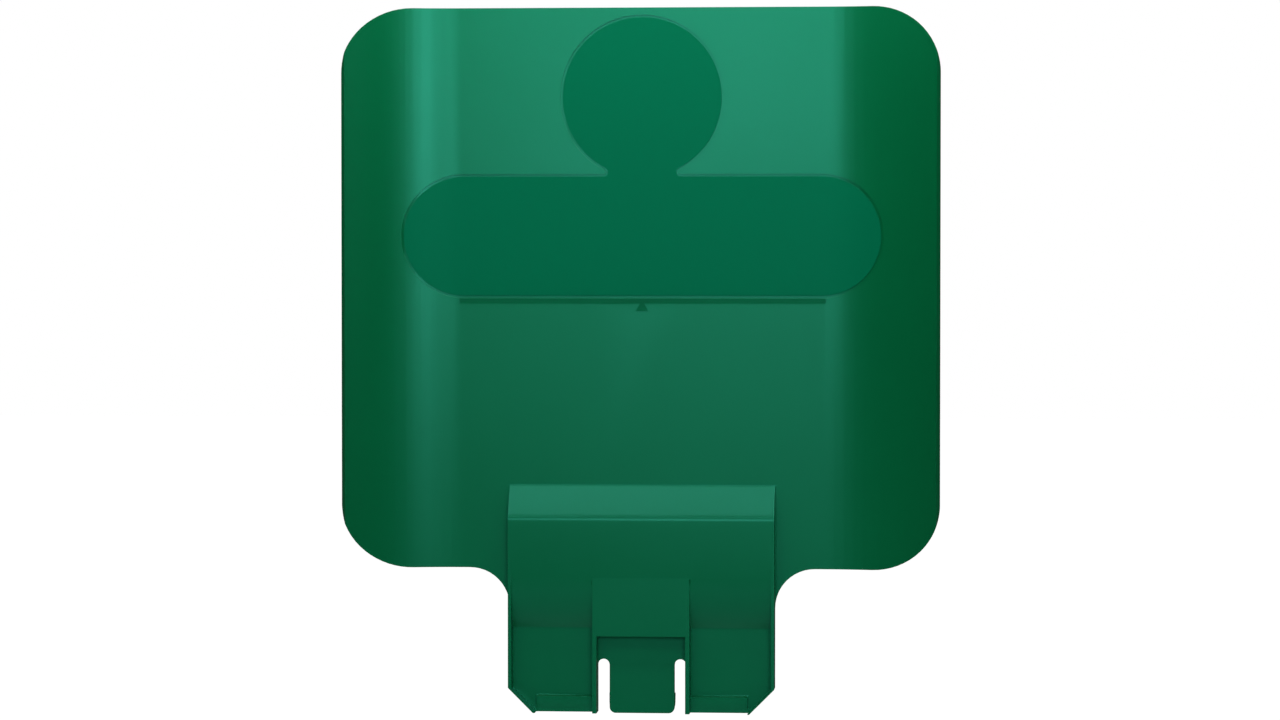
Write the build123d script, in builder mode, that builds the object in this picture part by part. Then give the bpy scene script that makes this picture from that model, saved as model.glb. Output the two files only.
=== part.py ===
"""Plug-in sign panel for the lid of a slim recycling bin, all sizes in millimetres.

The panel is one plastic moulding: a board whose two side wings curve forward, a plug
bracket under it that drops into a socket, and a snap finger in the middle of the plug.
A blank self-adhesive label lies in a shallow recess in the board's face.

Frame: X to the right, Z up, -Y forward. The origin lies on the centreline, on the flat
back plane that the board and the plug share, at the height of the board's lower edge.
"""

import os
from math import asin, degrees, sqrt

from build123d import *

# Board
board_width = 290.0
board_height = 273.0
wall = 3.0
flat_half_width = 88.5  # the wings start here
wing_radius = 86.0  # of the board's front face
corner_radius = 33.0

# Label recess: a round field that joins a long round-ended one
recess_depth = 0.8
field_length = 235.0
field_height = 60.4
disc_radius = 40.0
disc_margin = 3.5  # below the board's upper edge
field_drop = 67.6  # from the round field's centre to the long one's
field_point_round = 1.0

# Label
label_thickness = 0.35
label_clearance = 1.2  # from the recess's side wall
adhesive_gap = 0.05

# Ledge under the long field, and the pointer below its middle
ledge_length = 178.6
ledge_depth = 1.1
ledge_height = 3.0
ledge_lip = 0.7
pointer_width = 6.6
pointer_depth = 0.55
pointer_taper = 25.0  # degrees

# Plug bracket
plug_width = 129.8
plug_drop = 70.3
plug_chamfer = 12.2
neck_radius = 19.3
bracket_depth = 9.0  # in front of the board's face
bracket_rise = 40.4
slope_height = 15.2
slope_round = 6.0
bracket_wall = 2.4
side_wall = 1.6

# Pockets each side of the block
block_width = 47.4
rib_wall = 2.1
face_break_rise = 6.3  # the face leans back from here
pocket_top_drop = 4.4
face_lean = 0.35  # how far it leans back
pocket_knee_drop = 29.3
block_drop = 32.7

# Lip across the foot of each pocket: a flat bar above a lower step
lip_top_drop = 62.2
lip_bar_drop = 66.2
lip_step_drop = 68.3
lip_bar_depth = 2.4
lip_bar_setback = 13.3  # from the plug's side to the bar's end, clear of the cut corner
lip_step_depth = 1.1
lip_draft = 0.5  # fall of the bar's upper face towards its front

# Snap finger between two slots
slot_width = 5.7
slot_top_drop = 44.4
finger_drop = 70.9
finger_thickness = 2.4
finger_corner = 3.0
finger_gap = 0.3  # below the bending line
catch_height = 6.9
catch_depth = 1.8
catch_overhang = 0.3  # past each side of the finger
catch_drop = 61.0

# Places worked out from the sizes above
front = -wall
bracket_front = front - bracket_depth
leaning_face = bracket_front + face_lean
back_radius = wing_radius + wall
wing_angle = degrees(asin((board_width / 2 - flat_half_width) / back_radius))
disc_centre_rise = board_height - disc_margin - disc_radius
field_centre_rise = disc_centre_rise - field_drop
field_foot = field_centre_rise - field_height / 2
channel_width = block_width - 2 * rib_wall
finger_width = channel_width - 2 * slot_width
slot_centre = (finger_width + slot_width) / 2
bending_line = -(slot_top_drop + slot_width / 2)
past = 5.0  # how far a cutting shape reaches beyond what it cuts


def board_section(near, far):
    """Return the section between two faces that follow the board, near and far in Y."""
    centre = (flat_half_width, -back_radius)
    with BuildSketch() as section:
        with BuildLine():
            far_flat = Line((0, far), (flat_half_width, far))
            far_wing = CenterArc(centre, back_radius + far, 90, -wing_angle)
            near_flat = Line((0, near), (flat_half_width, near))
            near_wing = CenterArc(centre, back_radius + near, 90, -wing_angle)
            Line(far_wing @ 1, near_wing @ 1)
            Line(near_flat @ 0, far_flat @ 0)
        make_face()
        mirror(about=Plane.YZ)
    return section.sketch


def label_outline(clearance):
    """Return the round field and the long field as one outline, drawn in by a clearance."""
    join_height = field_centre_rise + field_height / 2
    with BuildSketch() as outline:
        with Locations((0, field_centre_rise)):
            SlotOverall(field_length, field_height)
        with Locations((0, disc_centre_rise)):
            Circle(disc_radius)
        joins = outline.vertices().filter_by_position(Axis.Y, join_height - 1, join_height + 1)
        fillet(joins.filter_by_position(Axis.X, -disc_radius, disc_radius), field_point_round)
        if clearance:
            offset(amount=-clearance, mode=Mode.REPLACE)
    return outline.sketch


# The board, with a tongue that runs down as the plug's plate
with BuildPart() as board:
    with BuildSketch(Plane.XY.offset(-plug_drop - past)):
        add(board_section(front, 0))
    extrude(amount=board_height + plug_drop + 2 * past)
    with BuildSketch(Plane.XZ.offset(-past)) as board_outline:
        with Locations((0, board_height / 2)):
            RectangleRounded(board_width, board_height, corner_radius)
        with Locations((0, -plug_drop / 2)):
            Rectangle(plug_width, plug_drop)
        necks = board_outline.vertices().filter_by_position(Axis.Y, -1, 1)
        necks = necks.filter_by_position(Axis.X, -plug_width / 2, plug_width / 2)
        fillet(necks, neck_radius)
        feet = board_outline.vertices().group_by(Axis.Y)[0]
        chamfer(feet, plug_chamfer)
    extrude(amount=2 * board_width, mode=Mode.INTERSECT)


def face_side_view(over_pocket, back):
    """Return the side view of the bracket's raised face, over a pocket or over the block."""
    with BuildSketch() as view:
        with BuildLine():
            lean = Line((bracket_front, face_break_rise), (leaning_face, -pocket_top_drop))
            if over_pocket:
                foot = TangentArc(lean @ 1, (front, -pocket_knee_drop), tangent=lean % 1)
            else:
                foot = Line(lean @ 1, (leaning_face, -block_drop))
            Polyline(
                foot @ 1,
                (back, (foot @ 1).Y),
                (back, bracket_rise),
                (front, bracket_rise),
                (bracket_front, bracket_rise - slope_height),
                lean @ 0,
            )
        make_face()
        brow = view.vertices().group_by(Axis.X)[0].sort_by(Axis.Y)[-1]
        fillet(brow, slope_round)
    return view.sketch


def plug_outline(inset):
    """Return the plug's front view below the bracket's leaning face, drawn in by an inset."""
    half_width = plug_width / 2 - inset
    corner_drop = plug_drop - plug_chamfer + inset * (sqrt(2) - 1)
    with BuildSketch() as outline:
        with BuildLine():
            Polyline(
                (0, face_break_rise),
                (half_width, face_break_rise),
                (half_width, -corner_drop),
                (half_width - (plug_drop - corner_drop), -plug_drop),
                (0, -plug_drop),
                close=True,
            )
        make_face()
        mirror(about=Plane.YZ)
    return outline.sketch


# The plug bracket: plate with a lip, raised face, block with its ribs, and side walls
with BuildPart() as bracket:
    with BuildSketch(Plane.YZ):
        with BuildLine():
            Polyline(
                (0, -plug_drop),
                (0, 0),
                (front, 0),
                (front, -lip_step_drop),
                (front - lip_step_depth, -lip_step_drop),
                (front - lip_step_depth, -plug_drop),
                close=True,
            )
        make_face()
    extrude(amount=plug_width / 2, both=True)
    with BuildSketch(Plane.YZ):
        with BuildLine():
            Polyline(
                (front, -lip_top_drop),
                (front - lip_bar_depth, -lip_top_drop - lip_draft),
                (front - lip_bar_depth, -lip_bar_drop),
                (front - lip_step_depth, -lip_step_drop),
                (front, -lip_step_drop),
                close=True,
            )
        make_face()
    extrude(amount=plug_width / 2 - lip_bar_setback, both=True)
    with BuildSketch(Plane.XZ.offset(wall)):
        with Locations((0, -plug_drop / 2)):
            Rectangle(channel_width, plug_drop)
    extrude(amount=bracket_depth, mode=Mode.SUBTRACT)
    with BuildSketch(Plane.YZ):
        add(face_side_view(True, 0))
    extrude(amount=plug_width / 2, both=True)
    with BuildSketch(Plane.YZ):
        add(face_side_view(False, 0))
    extrude(amount=block_width / 2, both=True)
    with BuildSketch(Plane.XZ):
        with Locations((0, -plug_drop / 2)):
            Rectangle(block_width, plug_drop)
            Rectangle(channel_width, plug_drop, mode=Mode.SUBTRACT)
    extrude(amount=-leaning_face)
    with BuildSketch(Plane.XZ):
        add(plug_outline(0))
        add(plug_outline(side_wall), mode=Mode.SUBTRACT)
    extrude(amount=-bracket_front)
    with BuildSketch(Plane.XZ.offset(-past)):
        with Locations((plug_width / 2, -plug_drop), (-plug_width / 2, -plug_drop)):
            Rectangle(plug_chamfer * sqrt(2), plug_chamfer * sqrt(2), rotation=45)
    extrude(amount=board_width, mode=Mode.SUBTRACT)

# The hollows behind the raised face: one over each pocket, one in the block
with BuildPart() as hollows:
    with BuildSketch(Plane.YZ):
        add(face_side_view(True, past))
        offset(amount=-bracket_wall, kind=Kind.INTERSECTION, mode=Mode.REPLACE)
    extrude(amount=plug_width / 2 - bracket_wall, both=True)
    with BuildSketch(Plane.YZ):
        Rectangle(board_width, board_width)
    extrude(amount=block_width / 2, both=True, mode=Mode.SUBTRACT)
    with BuildSketch(Plane.YZ):
        add(face_side_view(False, past))
        offset(amount=-bracket_wall, kind=Kind.INTERSECTION, mode=Mode.REPLACE)
    extrude(amount=channel_width / 2, both=True)

# The sign panel: board and bracket as one moulding, hollow behind the raised face
with BuildPart() as sign_panel:
    add(board.part)
    add(bracket.part)

    # Label recess
    with BuildSketch(Plane.XY):
        add(board_section(front - past, front + recess_depth))
    recess_tool = extrude(amount=board_height, mode=Mode.PRIVATE)
    with BuildSketch(Plane.XZ.offset(-past)):
        add(label_outline(0))
    recess_prism = extrude(amount=board_width, mode=Mode.PRIVATE)
    add(recess_tool & recess_prism, mode=Mode.SUBTRACT)

    # Ledge and pointer under the long field
    with BuildSketch(Plane.YZ):
        with BuildLine():
            Polyline(
                (front, field_foot),
                (front - ledge_depth, field_foot),
                (front - ledge_depth, field_foot - ledge_lip),
                (front, field_foot - ledge_height),
                close=True,
            )
        make_face()
    extrude(amount=ledge_length / 2, both=True)
    with BuildSketch(Plane.XZ.offset(wall)):
        with Locations((0, field_foot - ledge_lip)):
            Triangle(
                a=pointer_width, b=pointer_width, c=pointer_width, align=(Align.CENTER, Align.MAX)
            )
    extrude(amount=pointer_depth, taper=pointer_taper)

    # Hollows behind the raised face, and the slots beside the snap finger
    add(hollows.part, mode=Mode.SUBTRACT)
    with BuildSketch(Plane.XZ.offset(-past)):
        with BuildLine():
            Polyline(
                (-channel_width / 2, -plug_drop - past),
                (-channel_width / 2, bending_line),
                (channel_width / 2, bending_line),
                (channel_width / 2, -plug_drop - past),
                close=True,
            )
        make_face()
        with Locations((slot_centre, bending_line), (-slot_centre, bending_line)):
            Circle(slot_width / 2)
    extrude(amount=board_width, mode=Mode.SUBTRACT)

# The blank label: one film that follows the recess's floor
label_back = front + recess_depth - adhesive_gap
with BuildPart() as label_film:
    with BuildSketch(Plane.XY):
        add(board_section(label_back - label_thickness, label_back))
    extrude(amount=board_height)
    with BuildSketch(Plane.XZ.offset(-past)):
        add(label_outline(label_clearance))
    extrude(amount=board_width, mode=Mode.INTERSECT)

# The snap finger, flush with the plate's face, with its catch on the back
finger_top = bending_line - finger_gap
finger_back = front + finger_thickness
with BuildPart() as latch_finger:
    with BuildSketch(Plane.XZ.offset(-finger_back)) as finger_outline:
        with Locations((0, (finger_top - finger_drop) / 2)):
            Rectangle(finger_width, finger_drop + finger_top)
        fillet(finger_outline.vertices().group_by(Axis.Y)[0], finger_corner)
    extrude(amount=finger_thickness)
    with BuildSketch(Plane.YZ):
        with BuildLine():
            Polyline(
                (finger_back, -catch_drop),
                (finger_back + catch_depth, -catch_drop),
                (finger_back, -catch_drop - catch_height),
                close=True,
            )
        make_face()
    extrude(amount=finger_width / 2 + catch_overhang, both=True)

os.makedirs("parts", exist_ok=True)
for name, piece in (
    ("sign_panel", sign_panel),
    ("label_film", label_film),
    ("latch_finger", latch_finger),
):
    piece.part.label = name
    export_step(piece.part, f"parts/{name}.step")
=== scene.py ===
"""Plug-in sign panel for a slim recycling bin: the finished look, built around the CAD frame.

The panel's moulding, its blank label and its snap finger are taken from the CAD meshes, laid
flat by a formula, given rounded edges and fine strips, and curved back by the same formula.
"""

import bmesh
import bpy
import numpy as np
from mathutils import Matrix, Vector


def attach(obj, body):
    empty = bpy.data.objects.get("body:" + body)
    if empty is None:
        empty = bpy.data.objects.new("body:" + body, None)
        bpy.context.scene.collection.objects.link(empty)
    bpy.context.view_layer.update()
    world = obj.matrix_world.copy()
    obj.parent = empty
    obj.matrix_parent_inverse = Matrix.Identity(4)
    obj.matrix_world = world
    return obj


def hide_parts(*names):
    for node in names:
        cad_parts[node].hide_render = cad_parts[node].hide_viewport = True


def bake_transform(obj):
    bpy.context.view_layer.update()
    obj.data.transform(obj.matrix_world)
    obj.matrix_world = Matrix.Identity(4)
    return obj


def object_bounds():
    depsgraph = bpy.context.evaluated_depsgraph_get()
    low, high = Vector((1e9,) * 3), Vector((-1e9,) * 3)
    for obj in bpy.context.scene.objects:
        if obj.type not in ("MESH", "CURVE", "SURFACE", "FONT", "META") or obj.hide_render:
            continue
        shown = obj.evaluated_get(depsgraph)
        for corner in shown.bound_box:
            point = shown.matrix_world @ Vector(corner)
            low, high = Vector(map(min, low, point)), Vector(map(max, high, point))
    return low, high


bl_info = {
    "name": "Plug-in Sign Panel",
    "version": (1, 0, 0),
    "blender": (4, 5, 0),
    "location": "View3D > Sidebar > Sign Panel",
    "description": "Builds a moulded plug-in sign panel with a blank label and a snap finger",
    "category": "Object",
}

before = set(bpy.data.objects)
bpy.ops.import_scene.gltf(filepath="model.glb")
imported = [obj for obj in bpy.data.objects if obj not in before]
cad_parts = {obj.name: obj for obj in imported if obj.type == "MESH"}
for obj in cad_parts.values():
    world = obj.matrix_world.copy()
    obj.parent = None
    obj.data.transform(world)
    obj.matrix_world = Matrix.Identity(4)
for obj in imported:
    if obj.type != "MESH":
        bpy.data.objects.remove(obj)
cad_low, cad_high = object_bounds()
MM = 0.001

# The moulding's own sizes, in metres, as the CAD model has them. A height is above the board's
# lower edge, and one on the plug is negative. A depth lies along Y, and is negative in front of
# the board's back.
WALL = 3.0 * MM
FLAT_HALF_WIDTH = 88.5 * MM  # the wings start here
WING_RADIUS = 86.0 * MM  # of the face
BACK_RADIUS = WING_RADIUS + WALL

# Label recess and ledge
FIELD_CENTRE = 161.9 * MM
FIELD_HALF_HEIGHT = 30.2 * MM
FIELD_FLAT_HALF_LENGTH = 88.0 * MM  # its round ends start here
DISC_CENTRE = 229.5 * MM
DISC_RADIUS = 40.0 * MM
LABEL_MIDDLE = -2.45 * MM  # depth halfway between the film's face and its back
BELOW_LEDGE = 128.0 * MM
ABOVE_LEDGE = 133.0 * MM
LEDGE_EDGE = 131.0 * MM  # its upper front edge

# Plug bracket
BRACKET_TOP = 40.4 * MM
BROW = 25.2 * MM  # the slope ends here and the raised face starts
PLUG_HALF_WIDTH = 64.9 * MM
SIDE_WALL = 1.6 * MM
BLOCK_HALF_WIDTH = 23.7 * MM
RIB_WALL = 2.1 * MM
POCKET_WALL = PLUG_HALF_WIDTH - SIDE_WALL  # the side wall's inner face
CHANNEL_WALL = BLOCK_HALF_WIDTH - RIB_WALL  # a rib's face towards the finger
LEANING_FACE = -11.65 * MM  # depth of the raised face at its lower end
POCKET_TOP = -4.4 * MM  # the raised face ends here
KNEE = -29.3 * MM  # the pocket's curved floor meets the plate here
BLOCK_FOOT = -32.7 * MM
LIP_TOP = -62.2 * MM
BAR_END = 51.6 * MM  # from the middle
CUT_CORNER_SUM = 122.063 * MM  # half width plus drop, on the inner side of the cut-off corners

# Snap finger
BENDING_LINE = -47.25 * MM
FINGER_GAP = 0.3 * MM  # below the bending line

# How near a point must lie to a face, and to a wall, to be on it
ON_FACE = 0.02 * MM
ON_WALL = 0.05 * MM
JUST_PAST = 0.1 * MM  # clear of a face, a wall or an edge
ON_PLANE = 1e-7
# An edge that turns more than this can be rounded, and is left sharp in the shading
SHARP_ANGLE = np.radians(33)
# Faces that turn less than this from one to the next are made one
FLAT_ANGLE = np.radians(0.5)
# Points nearer than this are merged, in a CAD mesh and after a form's edges are rounded
CAD_MERGE = 2e-6
MERGE = 1e-6


# ---------------------------------------------------------------- sizes and colours


class MouldingSettings(bpy.types.PropertyGroup):
    """Edges and plastic of the sign panel's moulding."""

    rim_round: bpy.props.FloatProperty(
        name="Rim round", description="Rounding of the board's outer edges",
        default=1.0 * MM, unit="LENGTH", precision=5,
    )
    edge_round: bpy.props.FloatProperty(
        name="Edge round", description="Rounding of the plug bracket's edges",
        default=0.45 * MM, unit="LENGTH", precision=5,
    )
    recess_round: bpy.props.FloatProperty(
        name="Recess round", description="Rounding of the label recess's edge",
        default=0.45 * MM, unit="LENGTH", precision=5,
    )
    ledge_round: bpy.props.FloatProperty(
        name="Ledge round", description="Rounding of the ledge and its pointer",
        default=0.2 * MM, unit="LENGTH", precision=5,
    )
    foot_round: bpy.props.FloatProperty(
        name="Foot round", description="Fillet where the bracket meets the board",
        default=1.6 * MM, unit="LENGTH", precision=5,
    )
    corner_fillet: bpy.props.FloatProperty(
        name="Corner fillet", description="Fillet in the plug's inner corners",
        default=1.6 * MM, unit="LENGTH", precision=5,
    )
    strip_width: bpy.props.FloatProperty(
        name="Strip width", description="Width of the strips that make up a curved wing",
        default=2.5 * MM, unit="LENGTH", precision=5,
    )
    colour: bpy.props.FloatVectorProperty(
        name="Plastic colour", description="Colour of the moulded plastic",
        subtype="COLOR", size=3, min=0.0, max=1.0, default=(0.0, 0.080, 0.024),
    )
    sheen_tint: bpy.props.FloatVectorProperty(
        name="Highlight tint", description="Tint of the plastic's highlights",
        subtype="COLOR", size=3, min=0.0, max=1.0, default=(0.12, 1.0, 0.78),
    )
    roughness: bpy.props.FloatProperty(
        name="Roughness", description="Roughness of the textured faces",
        default=0.30, min=0.0, max=1.0,
    )


class FingerSettings(bpy.types.PropertyGroup):
    """The snap finger."""

    edge_round: bpy.props.FloatProperty(
        name="Edge round", description="Rounding of the finger's edges",
        default=0.35 * MM, unit="LENGTH", precision=5,
    )
    root_lap: bpy.props.FloatProperty(
        name="Root lap", description="How far the finger's root reaches into the plate",
        default=0.05 * MM, unit="LENGTH", precision=5,
    )
    bend_length: bpy.props.FloatProperty(
        name="Bend length", description="Length of the root over which the finger bends",
        default=4.0 * MM, unit="LENGTH", precision=5,
    )


class LabelSettings(bpy.types.PropertyGroup):
    """The blank label."""

    edge_round: bpy.props.FloatProperty(
        name="Edge round", description="Rounding of the film's cut edge",
        default=0.12 * MM, unit="LENGTH", precision=5,
    )
    colour: bpy.props.FloatVectorProperty(
        name="Film colour", description="Colour of the blank film",
        subtype="COLOR", size=3, min=0.0, max=1.0, default=(0.0, 0.098, 0.042),
    )
    roughness: bpy.props.FloatProperty(
        name="Roughness", description="Roughness of the film",
        default=0.45, min=0.0, max=1.0,
    )


class StageSettings(bpy.types.PropertyGroup):
    """Camera, light and floor."""

    camera_distance: bpy.props.FloatProperty(
        name="Camera distance", description="From the board's face to the camera",
        default=1.978, unit="LENGTH",
    )
    camera_turn: bpy.props.FloatProperty(
        name="Camera turn", description="How far the camera stands to the right",
        default=np.radians(4.48), subtype="ANGLE",
    )
    camera_rise: bpy.props.FloatProperty(
        name="Camera rise", description="How far the camera looks down",
        default=np.radians(1.53), subtype="ANGLE",
    )
    frame_width: bpy.props.FloatProperty(
        name="Frame width", description="Width of the picture at the board's face",
        default=0.6235, unit="LENGTH",
    )
    floor_depth: bpy.props.FloatProperty(
        name="Floor depth", description="From the plug's lower end down to the floor",
        default=0.35, unit="LENGTH",
    )


# ---------------------------------------------------------------- shapes


def laid_flat(points):
    """Unroll the wings: a point's angle about the wing's axis becomes a length along X, and
    its distance from that axis becomes its depth in Y. The flat middle stays as it is."""
    side = np.sign(points[:, 0])
    over = np.abs(points[:, 0]) - FLAT_HALF_WIDTH
    reach = points[:, 1] + BACK_RADIUS
    on_wing = over > ON_PLANE
    flat = points.copy()
    length = FLAT_HALF_WIDTH + WING_RADIUS * np.arctan2(over, reach)
    flat[:, 0] = np.where(on_wing, side * length, points[:, 0])
    flat[:, 1] = np.where(on_wing, np.hypot(over, reach) - BACK_RADIUS, points[:, 1])
    return flat


def curved(points):
    """Roll the wings up again: the inverse of laid_flat."""
    side = np.sign(points[:, 0])
    over = np.maximum(np.abs(points[:, 0]) - FLAT_HALF_WIDTH, 0.0)
    angle = over / WING_RADIUS
    radius = BACK_RADIUS + points[:, 1]
    on_wing = over > 0.0
    rolled = points.copy()
    rolled[:, 0] = np.where(on_wing, side * (FLAT_HALF_WIDTH + radius * np.sin(angle)), points[:, 0])
    rolled[:, 1] = np.where(on_wing, radius * np.cos(angle) - BACK_RADIUS, points[:, 1])
    return rolled


def moved(form, change):
    """Put a form's points where change, a function of the whole array, takes them."""
    points = np.array([v.co for v in form.verts], float).reshape(-1, 3)
    for vert, place in zip(form.verts, change(points)):
        vert.co = place


def flat_form(node):
    """Return a CAD node as one closed form, laid flat, with its plane faces in one piece."""
    form = bmesh.new()
    form.from_mesh(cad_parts[node].data)
    bmesh.ops.remove_doubles(form, verts=form.verts, dist=CAD_MERGE)
    moved(form, laid_flat)
    bmesh.ops.dissolve_limit(form, angle_limit=FLAT_ANGLE, verts=form.verts, edges=form.edges)
    form.normal_update()
    return form


def chosen_edges(form, inner, choose):
    """Return the sharp edges, inner corners or outer ones, whose middle choose accepts."""
    edges = [
        edge for edge in form.edges
        if edge.is_manifold and edge.calc_face_angle() > SHARP_ANGLE and edge.is_convex != inner
    ]
    middles = np.array([(e.verts[0].co + e.verts[1].co) / 2 for e in edges]).reshape(-1, 3)
    return [edge for edge, wanted in zip(edges, choose(middles)) if wanted]


def round_off(form, size, segments, choose, inner=False):
    """Round the chosen outer edges off, or fill the chosen inner corners with a fillet."""
    edges = chosen_edges(form, inner, choose)
    bmesh.ops.bevel(
        form, geom=edges, offset=size, offset_type="OFFSET", segments=segments, profile=0.5,
        affect="EDGES", clamp_overlap=True, loop_slide=True,
        miter_outer="SHARP", miter_inner="SHARP",
    )
    bmesh.ops.dissolve_degenerate(form, dist=MERGE, edges=form.edges)
    form.normal_update()


def at_sides(p, half_width):
    """True for points that lie half_width to the left or the right of the middle."""
    return np.abs(np.abs(p[:, 0]) - half_width) < ON_WALL


def at_depth(p, depth, within):
    """True for points that lie at a depth, or within a small distance of it."""
    return np.abs(p[:, 1] - depth) < within


def before_face(p):
    """True for points in front of the board's face."""
    return p[:, 1] < -WALL - ON_FACE


def in_recess(p):
    """True for points within the label recess's outline, or just outside it, seen from the
    front. The long field is all that lies within a distance of a level line, and the disc all
    that lies within a distance of a point."""
    margin = 1.5 * MM
    past_flat = np.maximum(np.abs(p[:, 0]) - FIELD_FLAT_HALF_LENGTH, 0.0)
    in_field = np.hypot(past_flat, p[:, 2] - FIELD_CENTRE) < FIELD_HALF_HEIGHT + margin
    in_disc = np.hypot(p[:, 0], p[:, 2] - DISC_CENTRE) < DISC_RADIUS + margin
    return in_field | in_disc


def on_recess_edge(p):
    """True for points on the edge where the board's face drops to the label recess."""
    return in_recess(p) & (p[:, 1] < -WALL + JUST_PAST)


def at_ledge(p):
    """True for points on the ledge and the pointer, in front of the board's face."""
    pointer_drop = 4 * MM
    return before_face(p) & (p[:, 2] > BELOW_LEDGE - pointer_drop) & (p[:, 2] < ABOVE_LEDGE)


def on_bracket(p):
    """True for points on the plug bracket, in front of the board's face, save at the upper
    ends of the pockets' side edges, where they run out."""
    run_out_length = 8 * MM
    at_pocket_side = at_sides(p, POCKET_WALL) | at_sides(p, BLOCK_HALF_WIDTH)
    runs_out = at_pocket_side & (p[:, 2] > POCKET_TOP - run_out_length)
    return before_face(p) & (p[:, 2] < BRACKET_TOP) & ~runs_out


def in_pocket_corner(p):
    """True for points where a pocket's floor meets its side wall and its rib, save near its
    upper end, where it is too shallow for a fillet, and in front of the lip."""
    least_depth = 2.4 * MM
    at_cut_corner = np.abs(np.abs(p[:, 0]) - p[:, 2] - CUT_CORNER_SUM) < ON_WALL
    at_rib = at_sides(p, BLOCK_HALF_WIDTH) & (p[:, 2] > LIP_TOP + JUST_PAST)
    deep = (p[:, 1] > LEANING_FACE + least_depth) & (p[:, 1] < -WALL + ON_WALL)
    return (at_sides(p, POCKET_WALL) | at_rib | at_cut_corner) & deep


def in_channel_corner(p):
    """True for points where the plate meets the ribs beside the snap finger's channel."""
    return at_sides(p, CHANNEL_WALL) & at_depth(p, -WALL, ON_WALL) & (p[:, 2] > BENDING_LINE)


def at_bracket_foot(p):
    """True for points where the bracket's sides meet the board's face."""
    return at_sides(p, PLUG_HALF_WIDTH) & at_depth(p, -WALL, ON_WALL) & (p[:, 2] > 0.0)


def on_board_rim(p):
    """True for points on the board's outer edges, front and back, above the plug."""
    ledge_margin = 4 * MM
    beside_plug = (np.abs(p[:, 0]) > PLUG_HALF_WIDTH + JUST_PAST) | (p[:, 2] > BRACKET_TOP)
    at_a_face = at_depth(p, 0.0, ON_FACE) | at_depth(p, -WALL, ON_FACE)
    near_ledge = np.abs(p[:, 2] - LEDGE_EDGE) < ledge_margin
    near_ledge &= np.abs(p[:, 0]) < FLAT_HALF_WIDTH + ledge_margin
    return beside_plug & at_a_face & ~in_recess(p) & ~near_ledge


def cut_at(form, places, normal):
    """Cut a form's faces by planes with that normal, through each place along it."""
    for place in places:
        bmesh.ops.bisect_plane(
            form, geom=form.verts[:] + form.edges[:] + form.faces[:],
            plane_co=tuple(place * n for n in normal), plane_no=normal, dist=ON_PLANE,
        )


def frame_bracket_faces(form):
    """Cut the bracket's flat faces just inside their edges, so that the shading of a rounded
    edge stays beside it and doesn't spread over the whole face."""
    near_edge = 0.6 * MM
    past_round = 0.8 * MM  # just past a rounded edge
    past_fillet = 2.0 * MM  # just past a filleted corner
    across = np.array([
        CHANNEL_WALL - 0.9 * MM, BLOCK_HALF_WIDTH + past_round, BLOCK_HALF_WIDTH + past_fillet,
        BAR_END - near_edge, BAR_END + near_edge, POCKET_WALL - past_fillet,
        POCKET_WALL - past_round, PLUG_HALF_WIDTH + past_fillet,
    ])
    up = [
        LIP_TOP + near_edge, KNEE - near_edge, KNEE + near_edge, BLOCK_FOOT - near_edge,
        BLOCK_FOOT + near_edge, POCKET_TOP + 0.5 * MM, BROW - 5.0 * MM, BROW + 4.0 * MM,
        BRACKET_TOP - 0.5 * MM, BRACKET_TOP + 0.5 * MM,
    ]
    cut_at(form, np.concatenate([-across, across]), (1, 0, 0))
    cut_at(form, up, (0, 0, 1))


def slice_wings(form, width):
    """Cut a form into upright strips of about that width where the wings curve."""
    reach = max(abs(v.co.x) for v in form.verts)
    places = np.arange(FLAT_HALF_WIDTH, reach, width)
    cut_at(form, np.concatenate([-places[::-1], places]), (1, 0, 0))


def finished_piece(form, name, body, node, material):
    """Turn a form into a smooth piece that stands for a CAD node and rides on a body, or on
    none where no body is given."""
    bmesh.ops.remove_doubles(form, verts=form.verts, dist=MERGE)
    mesh = bpy.data.meshes.new(name)
    form.to_mesh(mesh)
    form.free()
    mesh.shade_smooth()
    mesh.set_sharp_from_angle(angle=SHARP_ANGLE)
    piece = bpy.data.objects.new(name, mesh)
    bpy.context.scene.collection.objects.link(piece)
    mesh.materials.append(material)
    even = piece.modifiers.new("even_shading", "WEIGHTED_NORMAL")
    even.mode = "FACE_AREA"
    even.weight = 50
    even.keep_sharp = True
    if body:
        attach(piece, body)
    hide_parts(node)
    return piece


# ---------------------------------------------------------------- finishes


def new_node(tree, kind, **values):
    """Add a node and set its inputs by name and its other settings by attribute."""
    node = tree.nodes.new(kind)
    for name, value in values.items():
        if name in node.inputs:
            node.inputs[name].default_value = value
        else:
            setattr(node, name, value)
    return node


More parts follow.
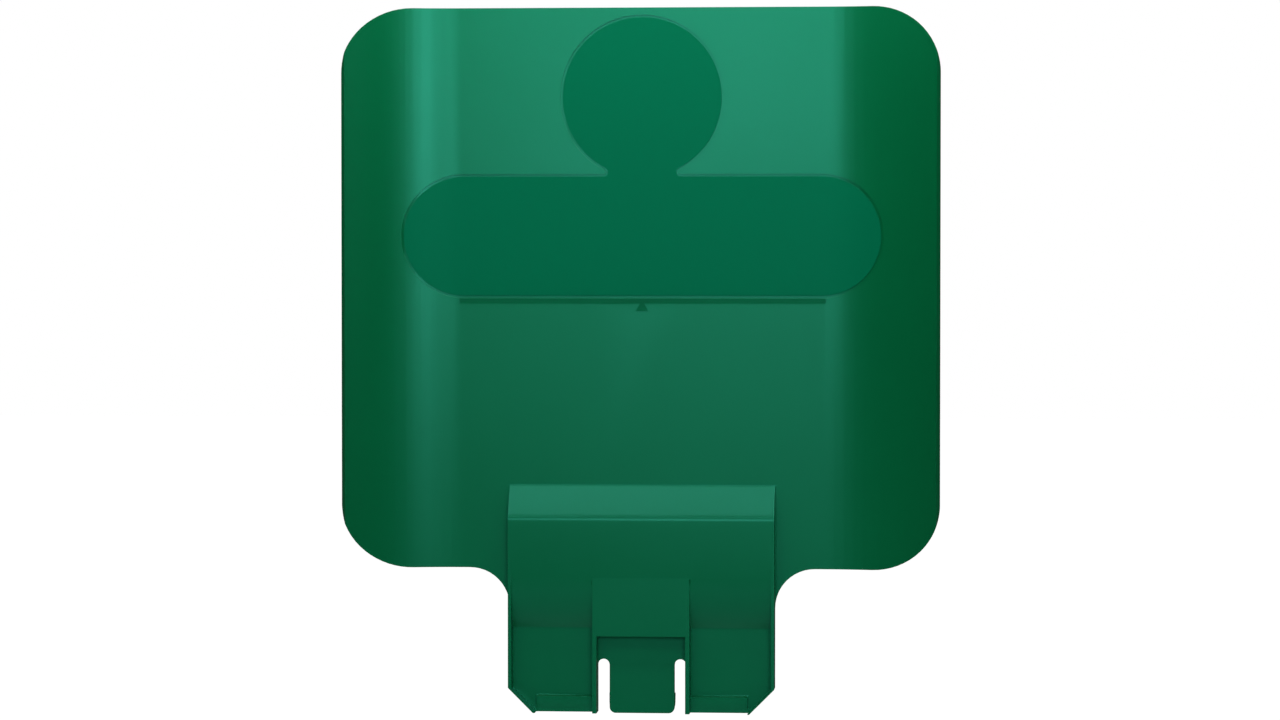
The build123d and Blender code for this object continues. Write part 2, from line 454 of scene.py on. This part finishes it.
def grain_group():
    """Fine moulded grain: two sizes of noise give a height, and slow noise gives a tone."""
    name = "moulded_grain"
    if name in bpy.data.node_groups:
        return bpy.data.node_groups[name]
    tree = bpy.data.node_groups.new(name, "ShaderNodeTree")
    sockets = tree.interface
    for label, default in (("Grain Size", 2600.0), ("Fine Share", 0.4), ("Tone Size", 14.0)):
        socket = sockets.new_socket(label, in_out="INPUT", socket_type="NodeSocketFloat")
        socket.default_value = default
    for label in ("Height", "Tone"):
        sockets.new_socket(label, in_out="OUTPUT", socket_type="NodeSocketFloat")
    start = tree.nodes.new("NodeGroupInput")
    end = tree.nodes.new("NodeGroupOutput")
    place = tree.nodes.new("ShaderNodeTexCoord")
    coarse = new_node(tree, "ShaderNodeTexNoise", Detail=3.0, Roughness=0.6)
    fine = new_node(tree, "ShaderNodeTexNoise", Detail=2.0, Roughness=0.5)
    tone = new_node(tree, "ShaderNodeTexNoise", Detail=3.0, Roughness=0.55)
    finer = new_node(tree, "ShaderNodeMath", operation="MULTIPLY")
    finer.inputs[1].default_value = 3.1  # the fine noise is this much finer
    mix = new_node(tree, "ShaderNodeMix", data_type="FLOAT")
    link = tree.links.new
    for noise in (coarse, fine, tone):
        link(place.outputs["Object"], noise.inputs["Vector"])
    link(start.outputs["Grain Size"], coarse.inputs["Scale"])
    link(start.outputs["Grain Size"], finer.inputs[0])
    link(finer.outputs[0], fine.inputs["Scale"])
    link(start.outputs["Tone Size"], tone.inputs["Scale"])
    link(start.outputs["Fine Share"], mix.inputs["Factor"])
    link(coarse.outputs["Fac"], mix.inputs["A"])
    link(fine.outputs["Fac"], mix.inputs["B"])
    link(mix.outputs["Result"], end.inputs["Height"])
    link(tone.outputs["Fac"], end.inputs["Tone"])
    return tree


def green_plastic(name, colour, tint, roughness, shine, grain_size, grain_depth, tone_change):
    """Green plastic with a moulded grain, whose tone and gloss drift slightly over the face."""
    gloss_change = 0.03
    if name in bpy.data.materials:
        return bpy.data.materials[name]
    material = bpy.data.materials.new(name)
    material.use_nodes = True
    tree = material.node_tree
    shader = tree.nodes["Principled BSDF"]
    shader.inputs["Specular Tint"].default_value = (*tint, 1.0)
    shader.inputs["Specular IOR Level"].default_value = shine
    grain = new_node(tree, "ShaderNodeGroup", node_tree=grain_group())
    grain.inputs["Grain Size"].default_value = grain_size
    dark = tuple(c * (1 - tone_change) for c in colour)
    light = tuple(min(1.0, c * (1 + tone_change)) for c in colour)
    shade = new_node(tree, "ShaderNodeMix", data_type="RGBA")
    shade.inputs["A"].default_value = (*dark, 1.0)
    shade.inputs["B"].default_value = (*light, 1.0)
    gloss = new_node(tree, "ShaderNodeMapRange")
    gloss.inputs["To Min"].default_value = roughness - gloss_change
    gloss.inputs["To Max"].default_value = roughness + gloss_change
    bump = new_node(tree, "ShaderNodeBump", Strength=0.35, Distance=grain_depth)
    link = tree.links.new
    link(grain.outputs["Tone"], shade.inputs["Factor"])
    link(shade.outputs["Result"], shader.inputs["Base Color"])
    link(grain.outputs["Tone"], gloss.inputs["Value"])
    link(gloss.outputs["Result"], shader.inputs["Roughness"])
    link(grain.outputs["Height"], bump.inputs["Height"])
    link(bump.outputs["Normal"], shader.inputs["Normal"])
    return material


def moulding_plastic():
    """The textured plastic of the panel and its snap finger."""
    look = bpy.context.scene.panel_moulding
    return green_plastic(
        "moulded_green", look.colour, look.sheen_tint, look.roughness,
        shine=0.5, grain_size=2600.0, grain_depth=0.04 * MM, tone_change=0.05,
    )


def label_plastic():
    """The smoother blank film."""
    look = bpy.context.scene.panel_label
    tint = bpy.context.scene.panel_moulding.sheen_tint
    return green_plastic(
        "label_green", look.colour, tint, look.roughness,
        shine=0.1, grain_size=900.0, grain_depth=0.01 * MM, tone_change=0.03,
    )


# ---------------------------------------------------------------- pieces


class PANEL_OT_moulding(bpy.types.Operator):
    """Build the board with its wings, recess, ledge and plug bracket"""

    bl_idname = "sign_panel.moulding"
    bl_label = "Panel moulding"

    def execute(self, context):
        sizes = context.scene.panel_moulding
        form = flat_form("sign_panel")
        round_off(form, sizes.rim_round, 4, on_board_rim)
        round_off(form, sizes.recess_round, 3, on_recess_edge)
        round_off(form, sizes.ledge_round, 2, at_ledge)
        round_off(form, sizes.foot_round, 4, at_bracket_foot, inner=True)
        round_off(form, sizes.corner_fillet, 4, in_pocket_corner, inner=True)
        round_off(form, sizes.corner_fillet / 2, 3, in_channel_corner, inner=True)
        round_off(form, sizes.edge_round, 3, on_bracket)
        frame_bracket_faces(form)
        slice_wings(form, sizes.strip_width)
        moved(form, curved)
        plastic = moulding_plastic()
        finished_piece(form, "panel_moulding", "panel", "sign_panel", plastic)
        return {"FINISHED"}


class PANEL_OT_label(bpy.types.Operator):
    """Build the blank label that lies in the recess"""

    bl_idname = "sign_panel.label"
    bl_label = "Blank label"

    def execute(self, context):
        form = flat_form("label_film")
        round_off(form, context.scene.panel_label.edge_round, 2, lambda p: p[:, 1] < LABEL_MIDDLE)
        slice_wings(form, context.scene.panel_moulding.strip_width)
        moved(form, curved)
        film = label_plastic()
        finished_piece(form, "blank_label", "panel", "label_film", film)
        return {"FINISHED"}


class PANEL_OT_finger(bpy.types.Operator):
    """Build the snap finger, with its root cut into loops over its bend length"""

    bl_idname = "sign_panel.finger"
    bl_label = "Snap finger"

    def execute(self, context):
        sizes = context.scene.panel_finger
        form = flat_form("latch_finger")
        round_off(form, sizes.edge_round, 3, lambda p: p[:, 2] < BENDING_LINE - 2 * FINGER_GAP)
        for vert in form.verts:
            if vert.co.z > BENDING_LINE - FINGER_GAP - JUST_PAST:
                vert.co.z = BENDING_LINE + sizes.root_lap
        low = BENDING_LINE - sizes.bend_length
        bend_cuts = 9
        cut_at(form, np.linspace(low, BENDING_LINE, bend_cuts), (0, 0, 1))
        plastic = moulding_plastic()
        piece = finished_piece(form, "snap_finger", "", "latch_finger", plastic)
        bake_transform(piece)
        return {"FINISHED"}


# ---------------------------------------------------------------- stage


def aim(thing, place, target):
    """Put a camera or light at a place, looking at a target."""
    direction = np.array(target) - np.array(place)
    thing.location = place
    thing.rotation_euler = Vector(direction).to_track_quat("-Z", "Y").to_euler()


def around(target, turn, rise, distance):
    """Return the place at a distance from the target, turned to the right and raised."""
    x = np.sin(turn) * np.cos(rise)
    y = -np.cos(turn) * np.cos(rise)
    return tuple(np.array(target) + distance * np.array([x, y, np.sin(rise)]))


def softbox(name, target, turn, rise, distance, size, power):
    """Add a soft area light aimed at the target."""
    light = bpy.data.lights.new(name, "AREA")
    light.shape = "RECTANGLE"
    light.size, light.size_y = size
    light.energy = power
    lamp = bpy.data.objects.new(name, light)
    bpy.context.scene.collection.objects.link(lamp)
    lamp.visible_camera = False
    aim(lamp, around(target, np.radians(turn), np.radians(rise), distance), target)


BOARD_MIDDLE = (-1.0 * MM, -WALL, 101.6 * MM)
LIGHT_DISTANCE = 1.8
STRIP = (0.22, 0.36)
SMALL_BOX = (0.4, 0.4)
SIDE_BOX = (0.8, 0.8)
LARGE_BOX = (0.9, 0.9)
# Each light: name, turn to the right and rise in degrees, size and watts
STUDIO_LIGHTS = (
    ("left_strip", -4, 8, STRIP, 3.9),
    ("right_strip", 12, 8, STRIP, 5.6),
    ("outer_right_strip", 20, 8, STRIP, 1.2),
    ("high_right_softbox", 12, 35, SMALL_BOX, 4.5),
    ("high_left_softbox", -20, 35, SMALL_BOX, 3.5),
    ("side_softbox", 65, 12, SIDE_BOX, 1.0),
    ("rear_left_softbox", 215, 35, LARGE_BOX, 14.0),
    ("rear_right_softbox", 145, 35, LARGE_BOX, 10.0),
)
# Each strip above the board's upper edge, aimed at a point below it: name, rise in degrees,
# distance and watts
TOP_STRIP_TARGET = (0, 0, 0.2)
TOP_STRIP = (0.6, 0.05)
TOP_STRIPS = (
    ("near_top_strip", 63.4, 0.224, 0.5),
    ("far_top_strip", 45.0, 0.354, 0.8),
)
FLOOR_REACH = 12.0
DIM_LIGHT = 0.04  # the white surroundings light the panel only this much


def add_camera(scene, stage):
    """Add the camera, with a lens that shows frame_width at the board's face."""
    camera = bpy.data.cameras.new("camera")
    camera.sensor_width = 36.0
    camera.lens = camera.sensor_width * stage.camera_distance / stage.frame_width
    camera.clip_end = 50
    viewer = bpy.data.objects.new("camera", camera)
    scene.collection.objects.link(viewer)
    place = around(BOARD_MIDDLE, stage.camera_turn, stage.camera_rise, stage.camera_distance)
    aim(viewer, place, BOARD_MIDDLE)
    scene.camera = viewer


def add_lights():
    """Add the lights round the panel and the strips above it."""
    for name, turn, rise, size, power in STUDIO_LIGHTS:
        softbox(name, BOARD_MIDDLE, turn, rise, LIGHT_DISTANCE, size, power)
    for name, rise, distance, power in TOP_STRIPS:
        softbox(name, TOP_STRIP_TARGET, 0, rise, distance, TOP_STRIP, power)


def add_floor(scene, low):
    """Add a pale floor at that height, which the camera sees as white."""
    floor_mesh = bpy.data.meshes.new("floor")
    corners = np.array([(-1, -1), (1, -1), (1, 1), (-1, 1)]) * FLOOR_REACH
    floor_mesh.from_pydata([(x, y, low) for x, y in corners], [], [(0, 1, 2, 3)])
    floor = bpy.data.objects.new("floor", floor_mesh)
    scene.collection.objects.link(floor)
    pale = bpy.data.materials.new("pale_floor")
    pale.use_nodes = True
    shader = pale.node_tree.nodes["Principled BSDF"]
    shader.inputs["Base Color"].default_value = (0.85, 0.85, 0.85, 1)
    shader.inputs["Roughness"].default_value = 0.9
    shader.inputs["Emission Color"].default_value = (1, 1, 1, 1)
    seen = pale.node_tree.nodes.new("ShaderNodeLightPath")
    pale.node_tree.links.new(seen.outputs["Is Camera Ray"], shader.inputs["Emission Strength"])
    floor_mesh.materials.append(pale)


def add_surroundings(scene):
    """Add the surroundings, white to the camera and dim to everything else."""
    world = bpy.data.worlds.new("studio")
    world.use_nodes = True
    scene.world = world
    tree = world.node_tree
    back = tree.nodes["Background"]
    back.inputs["Color"].default_value = (1, 1, 1, 1)
    path = tree.nodes.new("ShaderNodeLightPath")
    strength = new_node(tree, "ShaderNodeMapRange")
    strength.inputs["To Min"].default_value = DIM_LIGHT
    strength.inputs["To Max"].default_value = 1.0
    tree.links.new(path.outputs["Is Camera Ray"], strength.inputs["Value"])
    tree.links.new(strength.outputs["Result"], back.inputs["Strength"])


class PANEL_OT_stage(bpy.types.Operator):
    """Build the camera, the soft light and the pale floor"""

    bl_idname = "sign_panel.stage"
    bl_label = "Stage"

    def execute(self, context):
        scene = context.scene
        stage = scene.panel_stage
        add_camera(scene, stage)
        add_lights()
        add_floor(scene, cad_low.z - stage.floor_depth)
        add_surroundings(scene)
        scene.view_settings.view_transform = "Standard"
        return {"FINISHED"}


class PANEL_PT_sidebar(bpy.types.Panel):
    """List the pieces and the stage"""

    bl_label = "Sign Panel"
    bl_idname = "PANEL_PT_sidebar"
    bl_space_type = "VIEW_3D"
    bl_region_type = "UI"
    bl_category = "Sign Panel"

    def draw(self, context):
        layout = self.layout
        scene = context.scene
        for group in GROUPS:
            settings = getattr(scene, group)
            for name in settings.__annotations__:
                layout.prop(settings, name)
        for operator in OPERATORS:
            layout.operator(operator.bl_idname)


OPERATORS = (PANEL_OT_moulding, PANEL_OT_label, PANEL_OT_finger, PANEL_OT_stage)
GROUPS = {
    "panel_moulding": MouldingSettings,
    "panel_finger": FingerSettings,
    "panel_label": LabelSettings,
    "panel_stage": StageSettings,
}
CLASSES = (*GROUPS.values(), *OPERATORS, PANEL_PT_sidebar)


def register():
    """Register the classes and give the scene its settings."""
    for cls in CLASSES:
        bpy.utils.register_class(cls)
    for name, group in GROUPS.items():
        setattr(bpy.types.Scene, name, bpy.props.PointerProperty(type=group))


def unregister():
    """Take the settings and the classes away again."""
    for name in GROUPS:
        delattr(bpy.types.Scene, name)
    for cls in reversed(CLASSES):
        bpy.utils.unregister_class(cls)


def main():
    """Build every piece and the stage."""
    register()
    bpy.ops.sign_panel.moulding()
    bpy.ops.sign_panel.label()
    bpy.ops.sign_panel.finger()
    bpy.ops.sign_panel.stage()


if __name__ == "__main__":
    main()
